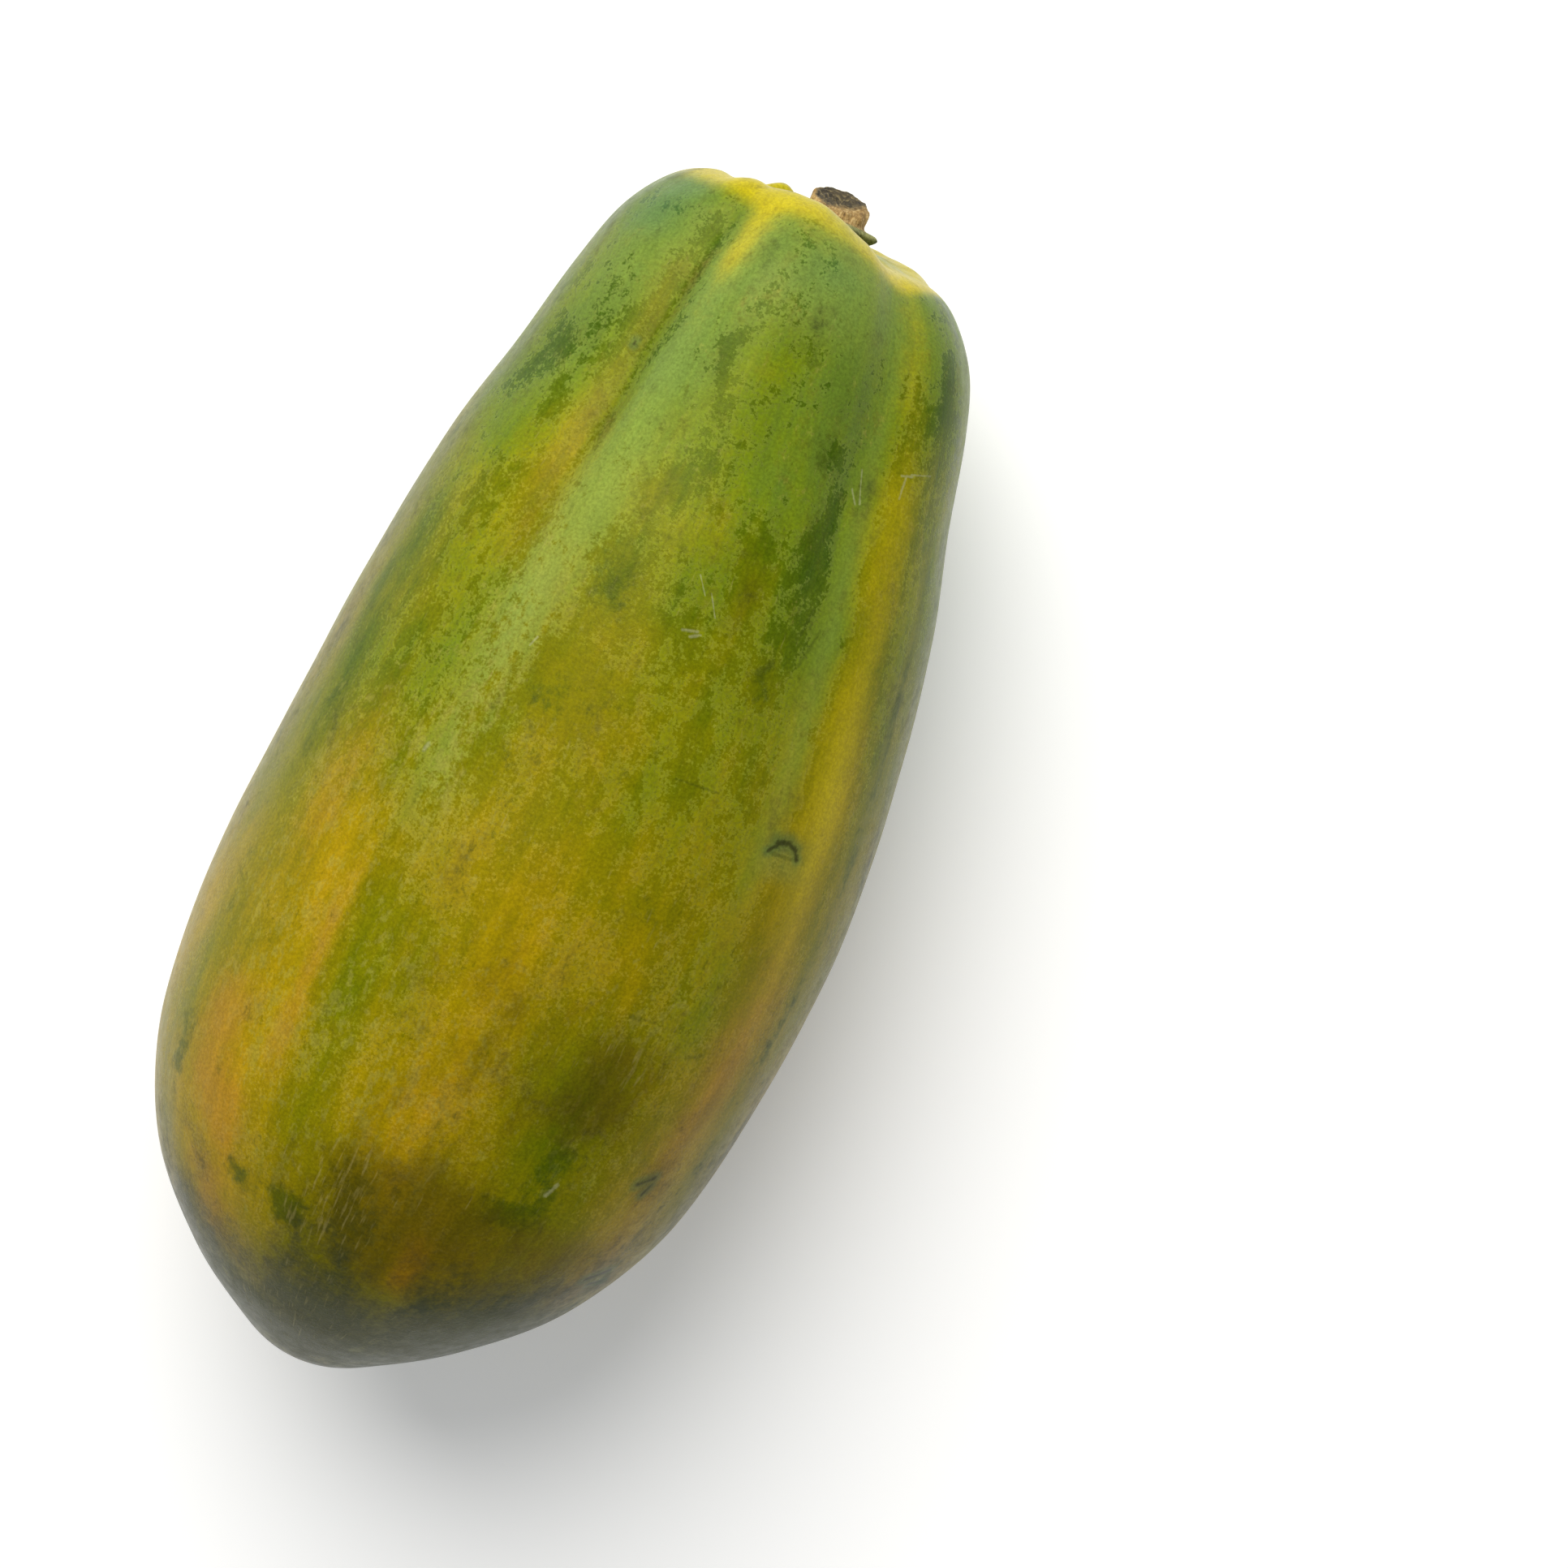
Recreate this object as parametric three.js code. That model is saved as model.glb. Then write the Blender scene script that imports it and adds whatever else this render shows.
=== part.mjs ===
// A large ripening papaya as picked, lying on its side on a small flat spot, in millimetres, +Z up.
// The long axis runs along Y: the blossom end points to -Y, the stem end with its cut stalk to +Y.
// Two pieces: the fruit, grown as one body with five lobes, and the woody stalk with its green calyx.
import * as THREE from 'three';
import { mergeVertices } from 'three/addons/utils/BufferGeometryUtils.js';

// Driving dimensions of the fruit
const LENGTH = 280;
const BELLY_RADIUS = 67.5;
const CREST_RADIUS = 27;
const CAVITY_DEPTH = 3;
const CAVITY_FLOOR_RADIUS = 7;
const FLAT_SPOT_DEPTH = 1.2;

// Half outline from the blossom tip over the stem-end crest into the cavity: radius, distance from the tip
const HALF_OUTLINE = [
  [0, 0],
  [9, 1],
  [19, 6.5],
  [34.5, 18],
  [51, 36],
  [62, 60],
  [66.5, 90],
  [BELLY_RADIUS, 120],
  [66, 150],
  [63, 178],
  [58.5, 205],
  [52, 230],
  [47.5, 250],
  [42.5, 265],
  [35, 275.5],
  [CREST_RADIUS, LENGTH],
  [20, LENGTH - 0.8],
  [13, LENGTH - 2.4],
  [CAVITY_FLOOR_RADIUS, LENGTH - CAVITY_DEPTH],
  [0, LENGTH - CAVITY_DEPTH],
];

// Centre line: sideways swing at even steps from tip to stem, a slight bow, and a drop towards the stem
const SWING = [-9.5, -5.5, -1.5, -1.5, -2];
const BOW = 2.5;
const STEM_DROP = 11;

// Furrows between the five lobes, deepest just below the crest and fading down the side.
// Angles are in degrees round the axis from +X towards +Z, and drift is degrees per 100 mm.
// The saddle is the share of the depth with which a furrow crosses the crest.
const FURROWS = [
  { angle: 121, drift: 4, depth: 6.5, halfWidth: 11, reach: 155, saddle: 0.35 },
  { angle: 54, drift: 1, depth: 3.5, halfWidth: 10, reach: 190, saddle: 0.8 },
  { angle: 345, drift: 0, depth: 4, halfWidth: 11, reach: 130, saddle: 0.7 },
  { angle: 277, drift: -2, depth: 4.5, halfWidth: 11, reach: 115, saddle: 0.6 },
  { angle: 207, drift: 2, depth: 5, halfWidth: 10, reach: 140, saddle: 0.8 },
];
const FURROW_MIN_RADIUS = 22;
const FURROW_FULL_DEPTH_AT = 20;
const FURROW_CAVITY_REACH = 22;

// Lobes: how far each one stands out along the axis at the stem end
const LOBES = [
  { angle: 18, rise: -2 },
  { angle: 104, rise: 3.8 },
  { angle: 162, rise: 0.6 },
  { angle: 240, rise: 5 },
  { angle: 311, rise: 1 },
];
const LOBE_SPREAD = 30;
const LOBE_START = 215;
const LOBE_INNER_RADIUS = 12;
const FACET_HEIGHT = 0.5;

// Driving dimensions of the stalk
const STALK_RADIUS = 6.8;
const STALK_LENGTH = 7.9;
const STALK_OFFSET = 1.5;
const STALK_LEAN = 0.02;
const CUT_SLOPE = 0.4;
const CALYX_RADIUS = 10.4;
const CALYX_NOTCH = 2.4;
const CALYX_THICKNESS = 1.3;
const FIBRE_COUNT = 9;
const FIBRE_HEIGHT = 0.25;
const CLEARANCE = 0.3;

// Fineness of the faceted surfaces
const ROWS_PER_STEP = 3;
const FRUIT_SIDES = 72;
const STALK_SIDES = 30;

const { degToRad, radToDeg, euclideanModulo, smoothstep } = THREE.MathUtils;

// Turn in degrees from one direction round the axis to another, between -180 and 180
function turnBetween(from, to) {
  return euclideanModulo(to - from + 180, 360) - 180;
}

// Bend of the centre line at a distance along the axis, added to a point of the straight body
function bend(x, along, z) {
  const share = THREE.MathUtils.clamp(along / LENGTH, 0, 1);
  const place = share * (SWING.length - 1);
  const step = Math.min(Math.floor(place), SWING.length - 2);
  const before = SWING[Math.max(step - 1, 0)];
  const after = SWING[Math.min(step + 2, SWING.length - 1)];
  const swing = catmullRom(place - step, before, SWING[step], SWING[step + 1], after);
  const lift = BOW * (2 * share - 1) ** 2 - STEM_DROP * (share - 0.5);
  return new THREE.Vector3(x + swing, along, z + lift);
}

// Smooth curve value between two middle points of four
function catmullRom(share, before, start, end, after) {
  const slopeIn = (end - before) / 2;
  const slopeOut = (after - start) / 2;
  const cubic = 2 * start - 2 * end + slopeIn + slopeOut;
  const square = 3 * end - 3 * start - 2 * slopeIn - slopeOut;
  return cubic * share ** 3 + square * share ** 2 + slopeIn * share + start;
}

// Depth of all furrows at a point: down is the distance down the side from the crest, negative in the cavity
function furrowDepth(down, radius, angle) {
  let depth = 0;
  for (const furrow of FURROWS) {
    const middle = furrow.angle + (furrow.drift * Math.max(down, 0)) / 100;
    const halfTurn = radToDeg(furrow.halfWidth / Math.max(radius, FURROW_MIN_RADIUS));
    const across = Math.exp(-((turnBetween(middle, angle) / halfTurn) ** 2));
    const left = down >= 0 ? 1 - down / furrow.reach : 1 + down / FURROW_CAVITY_REACH;
    const full = furrow.saddle + (1 - furrow.saddle) * smoothstep(down, 0, FURROW_FULL_DEPTH_AT);
    depth += furrow.depth * full * smoothstep(left, 0, 1) * across;
  }
  return depth;
}

// Rise of the lobes along the axis, full at the crest and gone at the cavity floor
function lobeRise(along, radius, angle) {
  let sum = 0;
  let weights = 0;
  for (const lobe of LOBES) {
    const weight = Math.exp(-((turnBetween(lobe.angle, angle) / LOBE_SPREAD) ** 2));
    sum += weight * lobe.rise;
    weights += weight;
  }
  const nearStem = smoothstep(along, LOBE_START, LENGTH);
  const offFloor = smoothstep(radius, LOBE_INNER_RADIUS, CREST_RADIUS);
  return (nearStem * offFloor * sum) / weights;
}

// Faint five-sided swell of the body, strongest at the belly
function bodySwell(along, angle) {
  const belly = Math.sin(Math.PI * THREE.MathUtils.clamp(along / LENGTH, 0, 1));
  return FACET_HEIGHT * belly * Math.cos(degToRad(5 * (angle - 90)));
}

// The outline as rows of radius, distance along the axis, outward direction and distance down from the crest
function outlineRows(corners, rowsPerStep) {
  const curve = new THREE.SplineCurve(corners.map(([radius, along]) => new THREE.Vector2(radius, along)));
  const points = curve.getPoints((corners.length - 1) * rowsPerStep);
  const crest = points.reduce((best, point, row) => (point.y > points[best].y ? row : best), 0);
  const walked = [0];
  for (let row = 1; row < points.length; row += 1) {
    walked.push(walked[row - 1] + points[row].distanceTo(points[row - 1]));
  }
  return points.map((point, row) => {
    const ahead = points[Math.min(row + 1, points.length - 1)];
    const behind = points[Math.max(row - 1, 0)];
    const run = ahead.clone().sub(behind).normalize();
    const onAxis = row === 0 || row === points.length - 1;
    return {
      radius: onAxis ? 0 : point.x,
      along: point.y,
      outRadius: onAxis ? 0 : run.y,
      outAlong: onAxis ? 0 : -run.x,
      down: walked[crest] - walked[row],
    };
  });
}

// A closed skin round the axis: the lathe gives rows and sides, and the formula gives each point
function skin(rows, sides, formula) {
  const profile = rows.map((row) => new THREE.Vector2(row.radius, row.along));
  const lathe = new THREE.LatheGeometry(profile, sides);
  const position = lathe.getAttribute('position');
  for (let side = 0; side <= sides; side += 1) {
    const angle = 90 - ((side % sides) * 360) / sides;
    rows.forEach((row, index) => {
      const point = formula(row, angle);
      position.setXYZ(side * rows.length + index, point.x, point.y, point.z);
    });
  }
  lathe.deleteAttribute('normal');
  lathe.deleteAttribute('uv');
  const closed = mergeVertices(lathe, 1e-3);
  const corners = closed.getIndex().array;
  const kept = [];
  for (let i = 0; i < corners.length; i += 3) {
    const [a, b, c] = [corners[i], corners[i + 1], corners[i + 2]];
    if (a !== b && b !== c && c !== a) kept.push(a, b, c);
  }
  closed.setIndex(kept);
  closed.computeVertexNormals();
  return closed;
}

// Flattens the underside: what lies below the floor is brought up to it
function restOnFloor(geometry, depth) {
  geometry.computeBoundingBox();
  const floor = geometry.boundingBox.min.z + depth;
  const position = geometry.getAttribute('position');
  for (let i = 0; i < position.count; i += 1) {
    position.setZ(i, Math.max(position.getZ(i), floor));
  }
  geometry.computeBoundingBox();
  return geometry;
}

// Fruit: one grown body, with its lobes, furrows, stem cavity and rounded blossom end
function makeFruit() {
  const rows = outlineRows(HALF_OUTLINE, ROWS_PER_STEP);
  const formula = (row, angle) => {
    const height = bodySwell(row.along, angle) - furrowDepth(row.down, row.radius, angle);
    const radius = row.radius + row.outRadius * height;
    const rise = lobeRise(row.along, row.radius, angle);
    const along = row.along + row.outAlong * height + rise;
    const turn = degToRad(angle);
    return bend(radius * Math.cos(turn), along, radius * Math.sin(turn));
  };
  const geometry = restOnFloor(skin(rows, FRUIT_SIDES, formula), FLAT_SPOT_DEPTH);
  const rind = new THREE.MeshStandardMaterial({ color: '#9ba22c', roughness: 0.45, metalness: 0 });
  const fruit = new THREE.Mesh(geometry, rind);
  fruit.name = 'fruit';
  return fruit;
}

// Peduncle: the cut woody stalk on the cavity floor, with the five green calyx lobes spread round its foot
function makePeduncle() {
  const foot = LENGTH - CAVITY_DEPTH + CLEARANCE;
  const rim = foot + 2.2;
  const top = foot + STALK_LENGTH;
  const outline = [
    [0, foot],
    [STALK_RADIUS - 1, foot],
    [CALYX_RADIUS, rim],
    [CALYX_RADIUS - 0.3, rim + CALYX_THICKNESS],
    [STALK_RADIUS + 0.4, rim + CALYX_THICKNESS + 0.5],
    [STALK_RADIUS, top - 2],
    [STALK_RADIUS - 0.2, top - 0.6],
    [STALK_RADIUS - 1.4, top],
    [0, top - 0.8],
  ];
  const rows = outlineRows(outline, ROWS_PER_STEP);
  const formula = (row, angle) => {
    const turn = degToRad(angle);
    const spread = smoothstep(row.radius, STALK_RADIUS, CALYX_RADIUS);
    const notch = CALYX_NOTCH * spread * (0.5 - 0.5 * Math.cos(5 * turn));
    const upStalk = smoothstep(row.along, rim + CALYX_THICKNESS, top);
    const fibres = FIBRE_HEIGHT * upStalk * Math.cos(FIBRE_COUNT * turn + 0.2 * row.along);
    const radius = Math.max(row.radius - notch + fibres * smoothstep(row.radius, 2, STALK_RADIUS), 0);
    const x = radius * Math.cos(turn) + STALK_OFFSET + STALK_LEAN * (row.along - foot);
    const z = radius * Math.sin(turn);
    return bend(x, row.along - CUT_SLOPE * z * upStalk, z);
  };
  const stalk = new THREE.MeshStandardMaterial({ color: '#8f7a50', roughness: 0.85, metalness: 0 });
  const peduncle = new THREE.Mesh(skin(rows, STALK_SIDES, formula), stalk);
  peduncle.name = 'peduncle';
  return peduncle;
}

// The whole fruit, with its origin under the middle of its box, on the surface it lies on
const papaya = new THREE.Group();
papaya.add(makeFruit(), makePeduncle());
const box = new THREE.Box3().setFromObject(papaya);
const middle = box.getCenter(new THREE.Vector3());
papaya.position.set(-middle.x, -middle.y, -box.min.z);
papaya.updateMatrixWorld(true);

export default papaya;
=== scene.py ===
# A large ripening papaya lying on its side, seen from straight above.
# Lengths are in metres, except in the fruit's and the stalk's shapes, which are worked out in millimetres.
import math
import bpy
import numpy as np
from mathutils import Matrix, Vector


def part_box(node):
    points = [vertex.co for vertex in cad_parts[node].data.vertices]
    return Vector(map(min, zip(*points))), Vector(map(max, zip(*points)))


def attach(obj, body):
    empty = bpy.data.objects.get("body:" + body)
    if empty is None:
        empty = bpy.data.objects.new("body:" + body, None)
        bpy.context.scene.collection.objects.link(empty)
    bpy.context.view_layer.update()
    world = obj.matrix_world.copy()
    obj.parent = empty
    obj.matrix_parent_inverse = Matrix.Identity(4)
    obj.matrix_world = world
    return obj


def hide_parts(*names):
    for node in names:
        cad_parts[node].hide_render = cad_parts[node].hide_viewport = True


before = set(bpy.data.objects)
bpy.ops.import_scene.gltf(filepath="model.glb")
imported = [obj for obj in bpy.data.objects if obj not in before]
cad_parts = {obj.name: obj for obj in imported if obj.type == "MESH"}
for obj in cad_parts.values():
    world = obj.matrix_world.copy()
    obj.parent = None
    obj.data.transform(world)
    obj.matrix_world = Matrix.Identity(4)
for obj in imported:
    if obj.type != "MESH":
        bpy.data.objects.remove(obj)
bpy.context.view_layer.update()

# Camera
# An 85 mm lens almost straight above the fruit, turned so that the fruit runs from lower left to upper
# right. It leans 8 degrees past the vertical towards the stem end, about 0.83 m from the fruit.
CAMERA_TURN = math.radians(23.523)
CAMERA_TILT = math.radians(98)
CAMERA_DISTANCE = 0.8277
SHIFT_RIGHT = 0.04579
SHIFT_UP = -0.000094
LOOK_AT_HEIGHT = 0.067
camera_data = bpy.data.cameras.new("camera")
camera_data.lens = 85
camera_data.sensor_width = 36
camera_data.clip_start = 0.05
camera_data.clip_end = 20
camera = bpy.data.objects.new("camera", camera_data)
bpy.context.scene.collection.objects.link(camera)
camera_right = Vector((math.cos(CAMERA_TURN), math.sin(CAMERA_TURN), 0))
camera_back = Vector((
    math.sin(CAMERA_TURN) * math.cos(CAMERA_TILT),
    -math.cos(CAMERA_TURN) * math.cos(CAMERA_TILT),
    math.sin(CAMERA_TILT),
))
camera_up = camera_back.cross(camera_right)
camera_place = camera_right * SHIFT_RIGHT + camera_up * SHIFT_UP + camera_back * CAMERA_DISTANCE
camera_place.z += LOOK_AT_HEIGHT
camera_axes = Matrix((camera_right, camera_up, camera_back)).transposed()
camera.matrix_world = Matrix.Translation(camera_place) @ camera_axes.to_4x4()
bpy.context.scene.camera = camera
bpy.context.scene.view_settings.view_transform = "Standard"

# Fruit: shape
# The real fruit is one grown body: smooth waxy rind over firm flesh, five lobes that meet in furrows at
# the stem end, a shallow stem cavity and a rounded blossom end. It rests on a small flattened spot.
# Measures are in millimetres from the blossom tip, and angles in degrees from +X towards +Z.
FRUIT_LENGTH = 280
# Radius and distance along the fruit, from the tip round the crest to the floor of the stem cavity
HALF_OUTLINE = np.array([
    (0, 0), (9, 1), (19, 6.5), (34.5, 18), (51, 36), (62, 60), (66.5, 90), (67.5, 120), (66, 150), (63, 178),
    (58.5, 205), (52, 230), (47.5, 250), (42.5, 265), (35, 275.5), (27, 280), (20, 279.2), (13, 277.6),
    (7, 277), (0, 277),
])
CREST_CORNER = 15
# Centre line: sideways place at even steps, rise of its two ends, and fall towards the stem end
SWING = np.array([(-9.5,), (-5.5,), (-1.5,), (-1.5,), (-2,)])
BOW = 2.5
STEM_DROP = 11
# Furrows: angle, drift in degrees per 100 mm, depth, half width, reach down the side, share at the crest
FURROWS = [
    (121, 4, 6.5, 11, 155, 0.35),
    (54, 1, 3.5, 10, 190, 0.8),
    (345, 0, 4, 11, 130, 0.7),
    (277, -2, 4.5, 11, 115, 0.6),
    (207, 2, 5, 10, 140, 0.8),
]
FURROW_REACH_INSIDE = 22
FURROW_LEAST_RADIUS = 22
FURROW_SADDLE = 20
# Lobes: angle and rise along the axis at the crest
LOBES = [(18, -2), (104, 3.8), (162, 0.6), (240, 5), (311, 1)]
LOBE_SPREAD = 30
SWELL = 0.5
FRUIT_ROWS = 330
FRUIT_SIDES = 290


def smoothstep(value, low, high):
    """Share of the way from low to high, held within 0 and 1 and eased at both ends."""
    share = np.clip((value - low) / (high - low), 0, 1)
    return share * share * (3 - 2 * share)


def turn_between(start, end):
    """Shortest turn from start to end in degrees."""
    return np.mod(end - start + 180, 360) - 180


def curve_through(points, place):
    """Catmull-Rom curve through the points with the end points doubled; place is 0 at the first point."""
    padded = np.vstack([points[:1], points, points[-1:]])
    step = np.clip(np.floor(place).astype(int), 0, len(points) - 2)
    share = (place - step)[..., None]
    before, start, end, after = (padded[step + i] for i in range(4))
    slope_in = (end - before) / 2
    slope_out = (after - start) / 2
    cubic = 2 * start - 2 * end + slope_in + slope_out
    square = 3 * end - 3 * start - 2 * slope_in - slope_out
    return ((cubic * share + square) * share + slope_in) * share + start


outline_place = np.linspace(0, len(HALF_OUTLINE) - 1, 4000)
outline_points = curve_through(HALF_OUTLINE, outline_place)
outline_walked = np.append(0, np.cumsum(np.hypot(*np.diff(outline_points, axis=0).T)))
crest_walked = np.interp(CREST_CORNER, outline_place, outline_walked)
crest_index = int(np.searchsorted(outline_walked, crest_walked))


def centre_line(share):
    """Sideways place on the curve through SWING, and height: a parabola less an even fall to the stem end."""
    sideways = curve_through(SWING, share * (len(SWING) - 1))[..., 0]
    return sideways, BOW * (2 * share - 1) ** 2 - STEM_DROP * (share - 0.5)


def furrow_depth(down, radius, angle):
    """Sum of a Gaussian across each furrow, deepest just below the crest and fading down the side."""
    depth = 0
    for middle, drift, deepest, half_width, reach, saddle in FURROWS:
        turn = turn_between(middle + drift * np.maximum(down, 0) / 100, angle)
        half_turn = np.degrees(half_width / np.maximum(radius, FURROW_LEAST_RADIUS))
        left = np.where(down >= 0, 1 - down / reach, 1 + down / FURROW_REACH_INSIDE)
        full = saddle + (1 - saddle) * smoothstep(down, 0, FURROW_SADDLE)
        depth = depth + deepest * full * smoothstep(left, 0, 1) * np.exp(-((turn / half_turn) ** 2))
    return depth


def crest_fade(along, radius, start):
    """Smooth steps from a start along the fruit to its end, and outwards over the edge of the stem cavity."""
    return smoothstep(along, start, FRUIT_LENGTH) * smoothstep(radius, 12, 27)


def lobe_rise(along, radius, angle):
    """Mean of the lobe rises weighted by a Gaussian round each lobe, faded in towards the crest."""
    weights = [np.exp(-((turn_between(middle, angle) / LOBE_SPREAD) ** 2)) for middle, rise in LOBES]
    rises = sum(weight * rise for weight, (middle, rise) in zip(weights, LOBES))
    return rises / sum(weights) * crest_fade(along, radius, 215)


def unevenness(along, angle):
    """A few crossing waves of different lengths, none of them higher than a third of a millimetre."""
    turn = np.radians(angle)
    slow = np.sin(3 * turn + along / 31 + 0.6) * np.sin(2 * turn - along / 47 + 2.1)
    quick = np.sin(7 * turn - along / 17 + 1.3) * np.sin(4 * turn + along / 23 + 0.4)
    fine = np.sin(15 * turn + along / 9.5) * np.sin(11 * turn - along / 7.1 + 1.9)
    return (0.3 * slow + 0.2 * quick + 0.07 * fine) * smoothstep(along, 0, 60)


# Dents and bumps: along, angle, half length, half width in degrees, height
RELIEF = [
    (222, 60, 22, 5, -0.5),
    (252, 80, 7, 4, -0.35),
    (240, 98, 9, 3, -0.3),
    (195, 74, 14, 5, -0.3),
    (154, 47, 3, 6, -0.5),
    (228, 123, 42, 4, -1.0),
    (225, 114, 40, 5, 0.5),
    (84, 64, 22, 9, -0.4),
    (229, 147, 10, 6, -0.4),
    (271, 140, 2.5, 9, 0.35),
    (265, 141, 2.5, 8, -0.35),
    (259, 139, 2.5, 8, 0.25),
]


def relief(along, angle):
    """Sum of Gaussian dents and bumps at places on the skin."""
    height = 0
    for middle, turn, half_length, half_turn, rise in RELIEF:
        across = turn_between(turn, angle) / half_turn
        height = height + rise * np.exp(-(((along - middle) / half_length) ** 2) - across**2)
    return height


# Unevenness of the crest line: angle, half width in degrees, rise
CREST_WAVES = [
    (74, 17, -2.4), (246, 30, -3.6), (112, 9, 0.6), (132, 10, 1.2), (24, 22, -2), (315, 22, -2.2),
]
KNOB_ANGLE = 244
KNOB_INSIDE_CREST = 1
KNOB_HALF_WIDTH = 4.8
KNOB_HALF_DEPTH = 2.6
KNOB_HEIGHT = 3.4


def crest_shape(walked, along, radius, angle):
    """Gaussian rises and dips of the crest line, and one small knob on the far lobe."""
    rise = 0
    for turn, half_turn, height in CREST_WAVES:
        rise = rise + height * np.exp(-((turn_between(turn, angle) / half_turn) ** 2))
    sideways = np.radians(turn_between(KNOB_ANGLE, angle)) * radius / KNOB_HALF_WIDTH
    inwards = (walked - crest_walked - KNOB_INSIDE_CREST) / KNOB_HALF_DEPTH
    knob = KNOB_HEIGHT * np.exp(-(sideways**2) - inwards**2)
    return rise * crest_fade(along, radius, 245) + knob


def rind_point(walked, angle):
    """
    Point of the rind at a distance walked along the half outline from the tip and an angle round the axis.
    The outline point is pushed along its outward normal by swell, furrows and relief, raised by the lobes,
    turned round the axis and then shifted sideways and upwards with the bent centre line.
    """
    place = np.interp(walked, outline_walked, outline_place)
    radius, along = np.moveaxis(curve_through(HALF_OUTLINE, place), -1, 0)
    ahead = curve_through(HALF_OUTLINE, np.minimum(place + 0.2, len(HALF_OUTLINE) - 1))
    behind = curve_through(HALF_OUTLINE, np.maximum(place - 0.2, 0))
    run = ahead - behind
    run = run / np.linalg.norm(run, axis=-1, keepdims=True)
    near_axis = smoothstep(radius, 0, 4)
    swell = SWELL * np.sin(math.pi * np.clip(along / FRUIT_LENGTH, 0, 1))
    swell = swell * np.cos(np.radians(len(LOBES) * (angle - 90)))
    height = swell - furrow_depth(crest_walked - walked, radius, angle)
    height = (height + unevenness(along, angle) + relief(along, angle)) * near_axis
    rise = lobe_rise(along, radius, angle) + crest_shape(walked, along, radius, angle)
    around = radius + run[..., 1] * height
    turn = np.radians(angle)
    y = along - run[..., 0] * height + rise
    sideways, upwards = centre_line(np.clip(y, 0, FRUIT_LENGTH) / FRUIT_LENGTH)
    return np.stack([around * np.cos(turn) + sideways, y, around * np.sin(turn) + upwards], axis=-1), along


def grid_mesh(name, points, attributes):
    """
    Mesh of a closed skin from rows of points round an axis: quads between the rows, the last column joined
    to the first, and a fan of triangles to a single point at each end. The end rows are single points.
    """
    rows, sides = points.shape[:2]
    inner = points[1:-1].reshape(-1, 3)
    vertices = np.vstack([points[0, :1], inner, points[-1, :1]]) / 1000
    index = 1 + np.arange((rows - 2) * sides).reshape(rows - 2, sides)
    after = np.roll(index, -1, axis=1)
    quads = np.stack([index[:-1], after[:-1], after[1:], index[1:]], axis=-1).reshape(-1, 4)
    first = np.stack([np.zeros(sides, int), after[0], index[0]], axis=-1)
    last = np.stack([np.full(sides, len(vertices) - 1), index[-1], after[-1]], axis=-1)
    mesh = bpy.data.meshes.new(name)
    mesh.from_pydata(vertices, [], quads.tolist() + first.tolist() + last.tolist())
    for key, values in attributes.items():
        flat = np.concatenate([values[0, :1], values[1:-1].ravel(), values[-1, :1]])
        mesh.attributes.new(key, "FLOAT", "POINT").data.foreach_set("value", flat.astype(np.float32))
    mesh.polygons.foreach_set("use_smooth", np.ones(len(mesh.polygons), bool))
    mesh.update()
    piece = bpy.data.objects.new(name, mesh)
    bpy.context.scene.collection.objects.link(piece)
    return piece


rind_walked = np.linspace(0, outline_walked[-1], FRUIT_ROWS)
rind_angle = 90 + np.arange(FRUIT_SIDES) * 360 / FRUIT_SIDES
walked_grid, angle_grid = np.meshgrid(rind_walked, rind_angle, indexing="ij")
rind_points, along_grid = rind_point(walked_grid, angle_grid)

# The weight presses the underside flat over a spot 1.2 mm deep, with a soft edge
FLAT_SPOT_DEPTH = 1.2
fruit_floor = rind_points[..., 2].min() + FLAT_SPOT_DEPTH
fruit_low, fruit_high = (np.array(corner) * 1000 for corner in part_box("fruit"))
fruit_middle = (rind_points.reshape(-1, 3).min(axis=0) + rind_points.reshape(-1, 3).max(axis=0)) / 2
fruit_shift = (fruit_low + fruit_high) / 2 - fruit_middle
fruit_shift[1] = fruit_low[1] - rind_points[..., 1].min()
fruit_shift[2] = -fruit_floor
FLOOR_SOFTNESS = 0.2


def settle(points):
    """Shift into the part's frame, with a smooth maximum of the height and the floor."""
    placed = points + fruit_shift
    height = placed[..., 2]
    placed[..., 2] = (height + np.sqrt(height**2 + FLOOR_SOFTNESS**2)) / 2
    return placed


rind_placed = settle(rind_points)
rind_placed[..., 2] -= rind_placed[..., 2].min()


# Fruit: ripeness and wax
# The rind ripens unevenly from green over olive and gold to orange, mostly from the blossom end upwards and
# along the furrows. Over it lies a thin pale wax film, whole near the stem and worn ragged lower down.
def patches(rows, along, angle):
    """
    Sum of soft patches, each a flat-topped bell along the fruit times a Gaussian round it.
    Rows: amount, along, angle, half length, half width in degrees, lean in degrees per 100 mm.
    """
    total = np.zeros_like(along)
    for amount, middle, turn, half_length, half_turn, lean in rows:
        down = along - middle
        across = turn_between(turn + lean * down / 100, angle) / half_turn
        total += amount * np.exp(-((down / half_length) ** 4) - across**2)
    return total


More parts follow.
